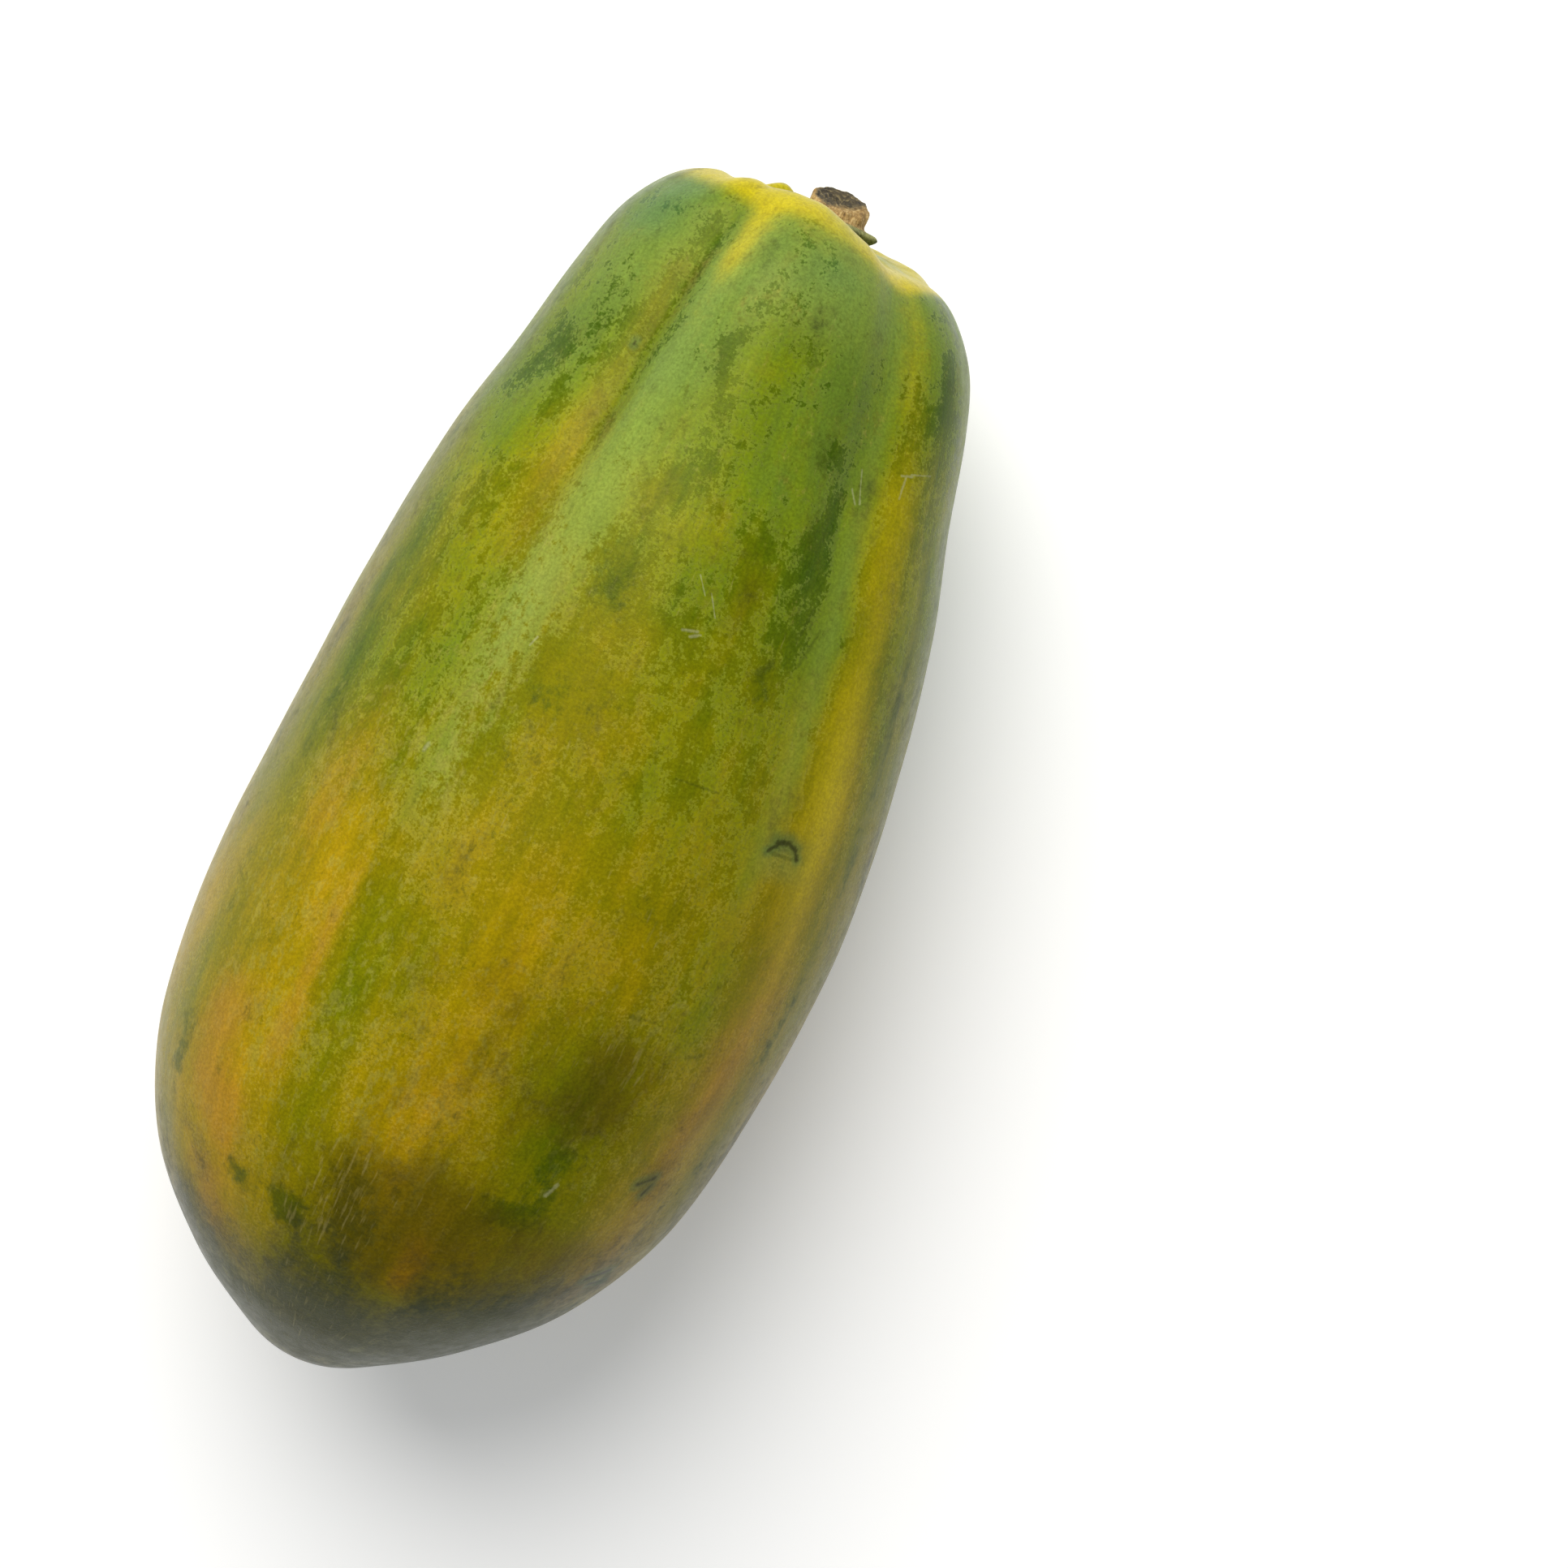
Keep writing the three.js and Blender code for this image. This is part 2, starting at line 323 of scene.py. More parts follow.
RIPENESS = [
    (0.14, 88, 126, 48, 8, 2),
    (0.08, 92, 134, 55, 18, 0),
    (0.20, 38, 126, 16, 14, 0),
    (-0.20, 100, 114, 20, 5, 0),
    (0.12, 195, 43, 62, 8, 0),
    (0.18, 140, 37, 50, 7, 0),
    (0.35, 43, 78, 8, 5, 0),
    (0.30, 240, 127, 46, 6, 2),
    (0.25, 88, 36, 34, 9, 0),
    (-0.12, 168, 149, 34, 6, 0),
    (-0.25, 82, 66, 26, 12, 0),
    (0.18, 95, 88, 45, 9, 0),
    (0.10, 205, 75, 18, 5, 0),
    (-0.10, 215, 60, 20, 5, 0),
    (0.30, 60, 200, 70, 30, 0),
    (0.20, 150, 262, 90, 22, 0),
    (-0.20, 190, 310, 70, 20, 0),
    (-0.20, 222, 146, 24, 9, 0),
    (-0.15, 120, 152, 60, 8, 0),
    (0.25, 90, 340, 60, 18, 0),
]
FILM = [
    (0.30, 222, 112, 48, 9, -6),
    (-0.20, 235, 126, 46, 6, 2),
    (0.15, 245, 80, 34, 26, 0),
    (-0.55, 190, 42, 64, 7, 0),
    (0.60, 195, 52.5, 60, 3.5, 0),
    (-0.35, 169, 98, 9, 9, 0),
    (-0.25, 200, 74, 18, 5, 0),
    (0.10, 150, 112, 25, 10, -6),
    (-0.20, 100, 128, 50, 14, 0),
    (-0.25, 80, 65, 25, 10, 0),
    (0.10, 240, 150, 30, 16, 0),
    (0.15, 235, 300, 40, 40, 0),
    (-0.20, 120, 230, 60, 30, 0),
]
DARK = [
    (0.35, 252, 80, 5, 4, 0),
    (0.30, 240, 98, 9, 3, 30),
    (0.40, 235, 67, 4, 5, 0),
    (0.36, 221, 62.5, 12, 5, -12),
    (0.38, 203, 59.5, 9, 4, -20),
    (0.20, 205, 103, 34, 9, -6),
    (0.32, 229, 147, 10, 7, 0),
    (0.30, 222, 137, 5, 3, 0),
    (0.32, 168, 149, 30, 6, 0),
    (0.35, 120, 149, 30, 4, 0),
    (0.40, 254, 31, 15, 3.5, 0),
    (0.60, 150, 26, 75, 2, 0),
    (0.30, 195, 100, 9, 4, 30),
    (0.40, 169, 102, 8, 7, 0),
    (0.25, 150, 106, 6, 4, 0),
    (0.35, 208, 76, 13, 4, 0),
    (0.40, 186, 65, 6, 4, 0),
    (0.30, 132, 70, 6, 6, 0),
    (0.40, 92, 66, 12, 9, 0),
    (0.62, 73, 63, 8, 8, 0),
    (0.75, 62, 66, 4, 9, 0),
    (0.60, 66, 134, 5, 2, 0),
    (0.70, 45, 122, 3.0, 6, 0),
    (0.75, 44, 108, 4, 5, 0),
    (0.60, 52, 95, 12, 12, 20),
    (0.50, 60, 148, 16, 4, 0),
    (0.50, 40, 66, 9, 7, 0),
    (0.15, 100, 114, 18, 4, 0),
    (0.40, 230, 200, 30, 8, 0),
    (0.45, 150, 290, 60, 5, 0),
    (0.40, 90, 250, 25, 9, 0),
    (0.40, 200, 330, 25, 6, 0),
]
PEACH = [
    (0.75, 70, 137, 15, 7, 0),
    (0.65, 56, 130, 8, 7, 0),
    (0.65, 36, 131, 10, 8, 0),
    (0.55, 94, 122, 26, 2.6, 0),
    (0.30, 130, 135, 20, 5, 0),
    (0.50, 100, 37, 34, 6, 0),
    (0.40, 50, 34, 12, 7, 0),
    (0.40, 44, 79, 9, 4, 10),
    (0.40, 110, 330, 50, 9, 0),
    (0.40, 80, 210, 40, 12, 0),
]
FLUSH = [
    (0.70, 270, 112, 12, 6, 0),
    (0.15, 252, 112, 12, 4, 0),
    (0.20, 275, 86, 5, 34, 0),
    (0.25, 140, 37, 45, 6, 0),
    (0.50, 200, 42.5, 50, 7, 0),
    (0.15, 160, 41, 30, 5, 0),
    (0.30, 265, 46, 14, 7, 0),
    (0.16, 95, 88, 38, 6, 0),
    (0.20, 90, 125, 42, 6, 0),
    (0.15, 190, 132, 30, 4, 0),
    (0.20, 120, 215, 60, 8, 0),
    (0.25, 200, 345, 50, 6, 0),
]
# Pale wax bloom, and a painted highlight: the row at 112 degrees lights the ridge beside the left furrow as
# if it caught the light
BLOOM_AND_RIDGE_HIGHLIGHT = [
    (0.40, 266, 84, 12, 26, 0),
    (0.50, 222, 112, 50, 8, -6),
    (0.35, 160, 116, 32, 6, 0),
    (0.25, 200, 52.5, 58, 3.5, 0),
    (0.25, 262, 140, 16, 14, 0),
    (0.20, 240, 140, 20, 8, 0),
]
# Grey green with painted shade: these patches darken and grey the limbs, a stripe beside the right yellow
# band and the blossom tip, where the fruit turns from the light
GREY_AND_PAINTED_SHADE = [
    (0.45, 190, 165, 110, 12, 0),
    (0.25, 200, 52.5, 55, 3, 0),
    (0.45, 150, 14, 90, 8, 0),
    (0.35, 60, 20, 40, 16, 0),
    (0.30, 265, 90, 14, 26, 0),
    (0.50, 34, 150, 16, 22, 0),
    (0.50, 34, 36, 18, 18, 0),
]
BLUE = [
    (0.60, 269, 147, 8, 11, 0),
    (0.30, 272, 80, 8, 12, 0),
    (0.40, 153, 46, 5, 6, 0),
]
# Brown mottling, and painted shade: the first two rows darken the left furrow at 121 and 127 degrees, where
# its wall turns from the light
BROWN_AND_FURROW_SHADE = [
    (0.30, 245, 121, 34, 2.5, 2),
    (0.32, 225, 127, 40, 5, 2),
    (0.30, 95, 36, 30, 8, 0),
    (0.70, 94, 62, 14, 11, 0),
    (0.75, 50, 84, 16, 24, 0),
    (0.50, 48, 48, 14, 16, 0),
    (0.25, 204, 74, 12, 4, 0),
    (0.36, 85, 88, 36, 16, 0),
    (0.30, 76, 40, 6, 4, 0),
    (0.30, 50, 30, 8, 6, 0),
]
FLECK = [
    (1.0, 95, 128, 60, 26, 0),
    (0.8, 70, 92, 40, 20, 0),
    (0.6, 165, 118, 30, 14, 0),
    (0.8, 100, 60, 40, 14, 0),
    (0.8, 100, 300, 90, 60, 0),
]
SCRATCH = [
    (1.0, 50, 99, 17, 11, 10),
    (0.5, 105, 60, 12, 10, 0),
    (0.5, 20, 95, 14, 50, 0),
]
# Streaks follow the skin on a round bar of this radius in metres, with the distance walked along it
SKIN_RADIUS = 0.06
turn_grid = np.radians(angle_grid)
# Each amount falls or rises from the tip to the stem end, with faint bands that follow the five lobes
bands = np.sin(len(LOBES) * turn_grid + 0.9 * np.sin(along_grid / 40)) * 0.05
ripe_at = [0, 30, 60, 100, 150, 200, 250, 283]
ripe = np.interp(along_grid, ripe_at, [0.5, 0.55, 0.62, 0.58, 0.48, 0.32, 0.08, 0.0])
ripe = ripe + bands + patches(RIPENESS, along_grid, angle_grid)
film_at = [0, 40, 80, 130, 170, 200, 230, 283]
film = np.interp(along_grid, film_at, [0.3, 0.40, 0.46, 0.45, 0.48, 0.56, 0.64, 0.72])
film = film - bands + patches(FILM, along_grid, angle_grid)
# The crest ripens first: full at the edge of the cavity, over 13 mm, or 6 mm on the right lobe
crest_reach = 13 - 7 * np.exp(-((turn_between(18, angle_grid) / 30) ** 2))
crest_flush = 1.1 * (1 - smoothstep((crest_walked - walked_grid) / crest_reach, 0.2, 1))
into_cavity = walked_grid - crest_walked
cavity_flush = 0.9 - 0.65 * smoothstep(into_cavity, 1, 15)
crest_flush = np.where(into_cavity > 0, cavity_flush, crest_flush)
# Painted shade, dark grey green, darkens the blossom tip over 38 mm, or 54 mm on the upper right, in full on
# its upper side and half as much underneath
tip_reach = smoothstep(turn_between(angle_grid, 118), 4, 16) * smoothstep(turn_between(20, angle_grid), 0, 30)
tip_reach = 38 + 16 * tip_reach
tip_painted_shade = 1 - smoothstep(along_grid, 0.3 * tip_reach, 1.1 * tip_reach)
tip_painted_shade = tip_painted_shade * (0.5 + 0.5 * smoothstep(np.sin(turn_grid), -0.2, 0.6))
rind_fields = {
    "ripe": ripe,
    "film": film,
    "dark": patches(DARK, along_grid, angle_grid),
    "peach": patches(PEACH, along_grid, angle_grid),
    "flush": patches(FLUSH, along_grid, angle_grid) + crest_flush,
    "grey_and_painted_shade": patches(GREY_AND_PAINTED_SHADE, along_grid, angle_grid) + tip_painted_shade,
    "blue": patches(BLUE, along_grid, angle_grid),
    "brown_and_furrow_shade": patches(BROWN_AND_FURROW_SHADE, along_grid, angle_grid) + 0.5 * smoothstep(into_cavity, 10, 24),
    "bloom_and_highlight": patches(BLOOM_AND_RIDGE_HIGHLIGHT, along_grid, angle_grid),
    "scratch": patches(SCRATCH, along_grid, angle_grid),
    "fleck": patches(FLECK, along_grid, angle_grid),
    "round_x": SKIN_RADIUS * np.cos(turn_grid),
    "round_z": SKIN_RADIUS * np.sin(turn_grid),
    "down": walked_grid / 1000,
}
fruit = grid_mesh("fruit_rind", rind_placed, rind_fields)
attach(fruit, "root")
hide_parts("fruit")


# Fruit: waxy papaya rind
# Grown skin under its own wax. It gives the eye an uneven ripening skin: olive to golden ground, a ragged
# pale film over it, green bruises, yellow flushes, fine grain and lengthwise streaks, with a satin sheen.
# Painted shade darkens the blossom tip, the limbs and the left furrow, and painted highlights lie on the
# film's edges and on the ridge beside that furrow.
def linear(hex_colour):
    """sRGB hex colour as linear RGBA."""
    parts = [int(hex_colour[i:i + 2], 16) / 255 for i in (1, 3, 5)]
    return [part / 12.92 if part <= 0.04045 else ((part + 0.055) / 1.055) ** 2.4 for part in parts] + [1]


def add_node(tree, kind, sockets=None, **settings):
    """Adds a node, sets its options, and links or sets its input sockets."""
    node = tree.nodes.new(kind)
    for key, value in settings.items():
        setattr(node, key, value)
    for key, value in (sockets or {}).items():
        if isinstance(value, bpy.types.NodeSocket):
            tree.links.new(value, node.inputs[key])
        else:
            node.inputs[key].default_value = value
    return node


def new_material(name):
    """An empty node material and its tree."""
    material = bpy.data.materials.new(name)
    material.use_nodes = True
    material.node_tree.nodes.clear()
    return material, material.node_tree


def set_stops(ramp, stops):
    """Gives a colour ramp its places and colours, and returns its colour."""
    elements = ramp.color_ramp.elements
    for place, colour in stops[1:-1]:
        elements.new(place).color = linear(colour)
    elements[0].position, elements[0].color = stops[0][0], linear(stops[0][1])
    elements[-1].position, elements[-1].color = stops[-1][0], linear(stops[-1][1])
    return ramp.outputs[0]


rind, rind_tree = new_material("waxy papaya rind")
source = {}
for name in rind_fields:
    source[name] = add_node(rind_tree, "ShaderNodeAttribute", attribute_name=name).outputs["Fac"]
spot = add_node(rind_tree, "ShaderNodeTexCoord").outputs["Object"]
skin_way = {0: source["round_x"], 1: source["down"], 2: source["round_z"]}
along_skin = add_node(rind_tree, "ShaderNodeCombineXYZ", skin_way).outputs[0]

# Coordinates: where they come from, how much they are squeezed, and how far they are moved
COORDINATES = {
    "lengthwise": (spot, (1, 0.6, 1), (0, 0, 0)),
    "shifted": (spot, (1, 0.6, 1), (0.4, 0.7, 0.2)),
    "streaky": (along_skin, (1, 0.1, 1), (0, 0, 0)),
    "scratchy": (along_skin, (1, 0.13, 1), (0, 0, 0)),
}
way = {"plain": spot}
for name, (start, squeeze, move) in COORDINATES.items():
    sockets = {"Vector": start, "Scale": squeeze, "Location": move}
    way[name] = add_node(rind_tree, "ShaderNodeMapping", sockets).outputs[0]

# Noises: coordinates, size of a patch in millimetres, detail, roughness, distortion
# The grain's real pores are finer, and are drawn as small as still shows in the render
NOISES = {
    "broad": ("lengthwise", 21.74, 4, 0.55, 0),
    "islands": ("lengthwise", 11.364, 13, 0.64, 0.2),
    "islands_again": ("shifted", 9.524, 12, 0.66, 0.3),
    "crumble": ("plain", 3.0303, 8, 0.74, 0),
    "flecks": ("lengthwise", 1.9231, 5, 0.7, 0),
    "grain": ("plain", 0.66667, 3, 0.6, 0),
    "streaks": ("streaky", 3.0303, 5, 0.6, 0),
    "scratches": ("scratchy", 0.90909, 2, 0.5, 0),
}
for name, (coordinates, size, detail, roughness, distortion) in NOISES.items():
    source[name] = add_node(rind_tree, "ShaderNodeTexNoise", {
        "Vector": way[coordinates], "Scale": 1000 / size, "Detail": detail, "Roughness": roughness,
        "Distortion": distortion,
    }).outputs["Fac"]


def weigh(amounts):
    """Sum of fields and noises times their amounts; a noise counts from its mean of one half."""
    total = -0.5 * sum(amount for name, amount in amounts.items() if name in NOISES)
    for name, amount in amounts.items():
        sockets = {0: source[name], 1: amount, 2: total}
        total = add_node(rind_tree, "ShaderNodeMath", sockets, operation="MULTIPLY_ADD").outputs[0]
    return total


def lay_coats(colour, coats):
    """
    Lays colours over a colour, one by one. Each coat's amounts are weighed together, and a smooth step of
    the sum from low to high gives its cover, from none to full.
    """
    for amounts, low, high, full, coat_colour in coats:
        sockets = {"Value": weigh(amounts), "From Min": low, "From Max": high, "To Max": full}
        cover = add_node(rind_tree, "ShaderNodeMapRange", sockets, interpolation_type="SMOOTHSTEP").outputs[0]
        sockets = {0: cover, 6: colour, 7: linear(coat_colour)}
        colour = add_node(rind_tree, "ShaderNodeMix", sockets, data_type="RGBA").outputs[2]
    return colour


# Ground and wax: each turns from green over olive to gold with ripeness
ripe_here = weigh({"ripe": 1, "broad": 0.8, "streaks": 0.3, "crumble": 0.12})
ground = set_stops(add_node(rind_tree, "ShaderNodeValToRGB", {0: ripe_here}), [
    (0, "#3E5A00"), (0.2, "#586A00"), (0.4, "#7A7A00"), (0.6, "#8C8000"), (0.8, "#A68C00"), (1, "#BC8C10"),
])
wax = set_stops(add_node(rind_tree, "ShaderNodeValToRGB", {0: ripe_here}), [
    (0, "#708A2C"), (0.2, "#7A8E14"), (0.4, "#8E920A"), (0.6, "#A29008"), (0.8, "#B29414"), (1, "#BC942C"),
])

# Film: a crisp and a soft share of its cover, the two sides of its pale rim, which is a painted highlight
# along its edge, and where it is whole
FILM_STEPS = {
    "crisp": (0.44, 0.6, 0.42),
    "soft": (-0.1, 1.1, 0.42),
    "rim inside": (0.5, 0.56, 0.12),
    "rim outside": (0.7, 0.56, 1),
    "whole": (0.2, 0.8, 1),
}
film_here = weigh({"film": 1, "dark": -0.9, "islands": 1.9, "crumble": 1.7, "grain": 0.7})
film_step = {}
for name, (low, high, full) in FILM_STEPS.items():
    sockets = {"Value": film_here, "From Min": low, "From Max": high, "To Max": full}
    step = add_node(rind_tree, "ShaderNodeMapRange", sockets, interpolation_type="SMOOTHSTEP")
    film_step[name] = step.outputs[0]
# The pale rim along the film's edge is a painted highlight, and the bloom coat also paints the highlight on
# the ridge beside the left furrow
FILM_COATS = {
    "film": ("ADD", film_step["crisp"], film_step["soft"], wax),
    "glint_rim": ("MULTIPLY", film_step["rim inside"], film_step["rim outside"], linear("#B0B060")),
    "bloom_and_highlight": ("MULTIPLY", source["bloom_and_highlight"], film_step["whole"], linear("#93AC56")),
}
film_cover = {}
skin_colour = ground
for name, (operation, first, second, over) in FILM_COATS.items():
    cover = add_node(rind_tree, "ShaderNodeMath", {0: first, 1: second}, operation=operation)
    film_cover[name] = cover.outputs[0]
    sockets = {0: film_cover[name], 6: skin_colour, 7: over}
    skin_colour = add_node(rind_tree, "ShaderNodeMix", sockets, data_type="RGBA").outputs[2]

# Coats: flecks, pits, yellow flush, peach, dark green, brown with painted shade in the left furrow, then blue
# green and grey green with painted shade on the limbs and the blossom tip
skin_colour = lay_coats(skin_colour, [
    ({"flecks": 1, "islands_again": 0.5, "fleck": 0.12}, 0.11, 0.23, 0.32, "#A8A24A"),
    ({"flecks": 1, "islands": -0.4}, -0.1, -0.2, 0.4, "#4E5600"),
    ({"flush": 1, "crumble": 0.5, "broad": 0.4}, 0, 1, 0.85, "#CEBA0A"),
    ({"peach": 1, "islands_again": 1, "crumble": 0.7}, 0, 0.9, 0.6, "#BA862A"),
    ({"dark": 1, "islands_again": 2.2, "crumble": 1.6}, 0.25, 0.85, 0.7, "#365200"),
    # Brown mottling, with painted shade along the left furrow
    ({"brown_and_furrow_shade": 1, "islands_again": 1.2, "crumble": 0.6}, 0.05, 0.8, 0.7, "#5C4C08"),
])
sockets = {0: weigh({"blue": 0.8}), 6: skin_colour, 7: linear("#4C7A50")}
skin_colour = add_node(rind_tree, "ShaderNodeMix", sockets, data_type="RGBA").outputs[2]
# Painted shade: a dark grey green laid over the limbs and the blossom tip, where the fruit turns from the
# light
skin_colour = lay_coats(skin_colour, [
    ({"grey_and_painted_shade": 1, "streaks": 0.8, "islands": 1.8, "crumble": 1.2}, 0.05, 1, 0.85, "#2E3A24"),
])


# Fruit: marks on the skin
# Short lines where the rind was scraped or scarred as it grew and was handled: dark corky ones with a green
# rim, faint dark ones, and pale ones that cut only the wax. They are laid over the rind's colour.
def skin_frame(along, angle, lean):
    """Point on the skin in metres and axes there: along the mark, across it, and outwards."""
    outer = outline_points[:crest_index, 1]
    walked = np.interp(along, outer, outline_walked[:crest_index])
    steps = []
    for up, turn in ((0, 0), (1, 0), (0, 1)):
        steps.append(rind_point(np.array(walked + up), np.array(angle + turn))[0])
    here, upward, round_it = (Vector(settle(step)) / 1000 for step in steps)
    outward = (upward - here).cross(here - round_it).normalized()
    lengthwise_axis = (upward - here).normalized()
    across_axis = outward.cross(lengthwise_axis)
    turn = math.radians(lean)
    run = lengthwise_axis * math.cos(turn) + across_axis * math.sin(turn)
    return here, Matrix((run, outward.cross(run), outward)).transposed()


def nearest_line(lines):
    """Distance to the nearest of some short lines on the skin, each in its own half widths."""
    nearest = 99.0
    for along, angle, lean, half_length, half_width in lines:
        here, axes = skin_frame(along, angle, lean)
        width = half_width / 1000
        near = add_node(rind_tree, "ShaderNodeMapping", {
            "Vector": spot, "Location": here, "Rotation": axes.to_euler(), "Scale": (width, width, 4 * width),
        }, vector_type="TEXTURE").outputs[0]
        held = near
        for operation, end in (("MAXIMUM", -half_length / half_width), ("MINIMUM", half_length / half_width)):
            sockets = {0: held, 1: (end, 0, 0)}
            held = add_node(rind_tree, "ShaderNodeVectorMath", sockets, operation=operation).outputs[0]
        gap = add_node(rind_tree, "ShaderNodeVectorMath", {0: near, 1: held}, operation="DISTANCE")
        sockets = {0: gap.outputs["Value"], 1: nearest}
        nearest = add_node(rind_tree, "ShaderNodeMath", sockets, operation="MINIMUM").outputs[0]
    return nearest


# Rows: along, angle, lean from lengthwise towards rising angles, half length, half width
DARK_LINES = [
    (155.0, 50.2, 50, 1.8, 0.45),
    (156.3, 48.2, 80, 1.6, 0.75),
    (156.0, 46.0, 110, 1.4, 0.6),
    (154.8, 44.4, 140, 1.4, 0.5),
    (76.5, 40.5, 60, 2.4, 0.6),
    (74.5, 38.8, 20, 1.6, 0.5),
    (50.5, 31.0, 60, 3.4, 0.7),
    (48.0, 28.0, 75, 2.6, 0.5),
    (240.0, 127.2, 0, 0.3, 0.4),
]
FAINT_LINES = [
    (153.5, 47.5, 92, 2.6, 0.4),
    (196.5, 57.0, 20, 4.5, 0.4),
    (201.5, 59.5, 15, 3.0, 0.4),
    (15.0, 75.0, 80, 1.6, 0.9),
    (107.0, 47.0, 70, 2.0, 0.5),
    (112.0, 62.0, 85, 3.0, 0.4),
    (162.0, 71.0, 88, 5.0, 0.25),
]
PALE_LINES = [
    (232.0, 54.2, -12, 3.6, 0.25),
    (229.5, 55.6, -30, 1.6, 0.25),
    (235.0, 42.0, 8, 2.6, 0.3),
    (237.6, 41.4, 80, 1.6, 0.25),
    (238.8, 36.5, 80, 3.2, 0.22),
    (191.0, 83.5, 75, 1.6, 0.35),
    (190.4, 82.2, 60, 1.2, 0.3),
    (200.5, 84.5, -35, 2.2, 0.15),
    (197.5, 81.0, -30, 2.6, 0.15),
    (70.0, 60.6, 20, 1.5, 0.5),
    (146.5, 121.0, 10, 0.8, 0.5),
    (176.0, 110.5, 20, 1.2, 0.25),
]
# The crumbly noise moves a line's edge by up to half of this many half widths to either side
WOBBLE = 4.0
# Each group: its lines, then for each colour where it starts, where it is full, its cover, and itself
MARKS = [
    (DARK_LINES, [(5, 1, 0.45, "#3F6A40"), (1.5, 0, 0.75, "#28260E")]),
    (FAINT_LINES, [(1.8, 0.2, 0.35, "#34400C")]),
    (PALE_LINES, [(1.6, 0, 0.4, "#BCBC90")]),
]
for group, colours in MARKS:
    sockets = {0: source["crumble"], 1: WOBBLE, 2: nearest_line(group)}
    gap = add_node(rind_tree, "ShaderNodeMath", sockets, operation="MULTIPLY_ADD").outputs[0]
    for far, near, full, mark_colour in colours:
        sockets = {"Value": gap, "From Min": far + WOBBLE / 2, "From Max": near + WOBBLE / 2, "To Max": full}
        cover = add_node(rind_tree, "ShaderNodeMapRange", sockets, interpolation_type="SMOOTHSTEP").outputs[0]
        sockets = {0: cover, 6: skin_colour, 7: linear(mark_colour)}
        skin_colour = add_node(rind_tree, "ShaderNodeMix", sockets, data_type="RGBA").outputs[2]
skin_colour = lay_coats(skin_colour, [({"scratch": 0.3, "scratches": 1.6}, 0.28, 0.55, 0.26, "#B8A868")])

# Grain and streaks: small changes of brightness
brightness = 1.0
for name, darkest, brightest in (("grain", 0.7, 0.94), ("streaks", 0.92, 1.08)):
    step = add_node(rind_tree, "ShaderNodeMapRange", {
        "Value": source[name], "From Min": 0.3, "From Max": 0.7, "To Min": darkest, "To Max": brightest,
    }, interpolation_type="SMOOTHSTEP").outputs[0]
    sockets = {0: step, 1: brightness}
    brightness = add_node(rind_tree, "ShaderNodeMath", sockets, operation="MULTIPLY").outputs[0]
sockets = {"Color": skin_colour, "Value": brightness}
skin_colour = add_node(rind_tree, "ShaderNodeHueSaturation", sockets).outputs[0]

# Bump: the edge of the film, pores and crumbs, 0.2 mm high at most
bump_height = 0.0
for value, share in ((source["grain"], 0.3), (film_cover["film"], 0.2), (source["crumble"], 0.5)):
    sockets = {0: value, 1: share, 2: bump_height}
    bump_height = add_node(rind_tree, "ShaderNodeMath", sockets, operation="MULTIPLY_ADD").outputs[0]
bump = add_node(rind_tree, "ShaderNodeBump", {"Strength": 0.5, "Distance": 0.0002, "Height": bump_height})
sockets = {"Value": source["crumble"], "From Min": 0.3, "From Max": 0.7, "To Min": 0.27, "To Max": 0.4}
satin = add_node(rind_tree, "ShaderNodeMapRange", sockets, interpolation_type="SMOOTHSTEP")
rind_shader = add_node(rind_tree, "ShaderNodeBsdfPrincipled", {
    "Base Color": skin_colour,
    "Roughness": satin.outputs[0],
    "Normal": bump.outputs[0],
    "Specular IOR Level": 0.15,
    "Specular Tint": (1, 1, 0.35, 1),
    "Sheen Weight": 0.015,
    "Sheen Roughness": 0.3,
    "Sheen Tint": (0.8, 0.9, 1, 1),
})
add_node(rind_tree, "ShaderNodeOutputMaterial", {"Surface": rind_shader.outputs[0]})
fruit.data.materials.append(rind)


# Stalk and calyx
# The real stalk is a short woody stub, cut across with a knife and dried: a dark fibrous end and a tan
# ribbed side. Five leathery green calyx lobes lie spread round its foot on the cavity floor.
STALK_FOOT = 277.3
STALK_RIM = STALK_FOOT + 2.2
STALK_TOP = STALK_FOOT + 7.9
STALK_OUTLINE = np.array([
    (0, STALK_FOOT - 0.8), (5.8, STALK_FOOT - 0.8), (10.4, STALK_RIM), (10.1, STALK_RIM + 1.3),
    (7.2, STALK_RIM + 1.8), (6.8, STALK_TOP - 2), (6.6, STALK_TOP - 0.6), (5.4, STALK_TOP),
    (0, STALK_TOP - 0.8),
])
STALK_ROWS = 170
STALK_SIDES = 200
STALK_SIDEWAYS = 1.5
STALK_LEAN = 0.02
CUT_SLOPE = 0.4
stalk_walk = np.linspace(0, len(STALK_OUTLINE) - 1, STALK_ROWS)
stalk_angle = 90 + np.arange(STALK_SIDES) * 360 / STALK_SIDES
stalk_place, stalk_turn = np.meshgrid(stalk_walk, np.radians(stalk_angle), indexing="ij")


